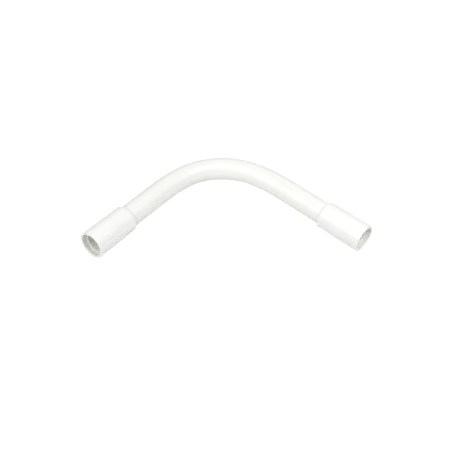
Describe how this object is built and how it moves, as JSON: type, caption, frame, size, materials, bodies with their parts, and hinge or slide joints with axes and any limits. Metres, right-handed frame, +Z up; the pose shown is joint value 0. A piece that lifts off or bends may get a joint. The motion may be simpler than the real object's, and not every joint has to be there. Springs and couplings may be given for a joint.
{
  "type": "pvc conduit elbow",
  "caption": "Swept right-angle bend of round plastic conduit with a slip sleeve on each leg, for turning a cable run through a corner.",
  "frame": {"origin": "on the surface the elbow lies flat on, under the middle of its outline as seen from above", "axes": "+X along the left leg and out of its sleeve's mouth, +Y along the right leg and out of its sleeve's mouth, +Z up, square to the plane of the bend"},
  "size_m": [0.176, 0.176, 0.0248],
  "materials": {
    "conduit_pvc": "satin",
    "sleeve_pvc": "satin"
  },
  "bodies": {
    "tube": {"bend_tube": "conduit_pvc"},
    "left_coupler": {"left_sleeve": "sleeve_pvc"},
    "right_coupler": {"right_sleeve": "sleeve_pvc"}
  },
  "joints": [
    {"name": "left_sleeve_slide", "type": "slide", "parent": "tube", "child": "left_coupler", "axis": [1, 0, 0], "range_m": [-0.041, 0.04]},
    {"name": "right_sleeve_slide", "type": "slide", "parent": "tube", "child": "right_coupler", "axis": [0, 1, 0], "range_m": [-0.041, 0.04]}
  ]
}
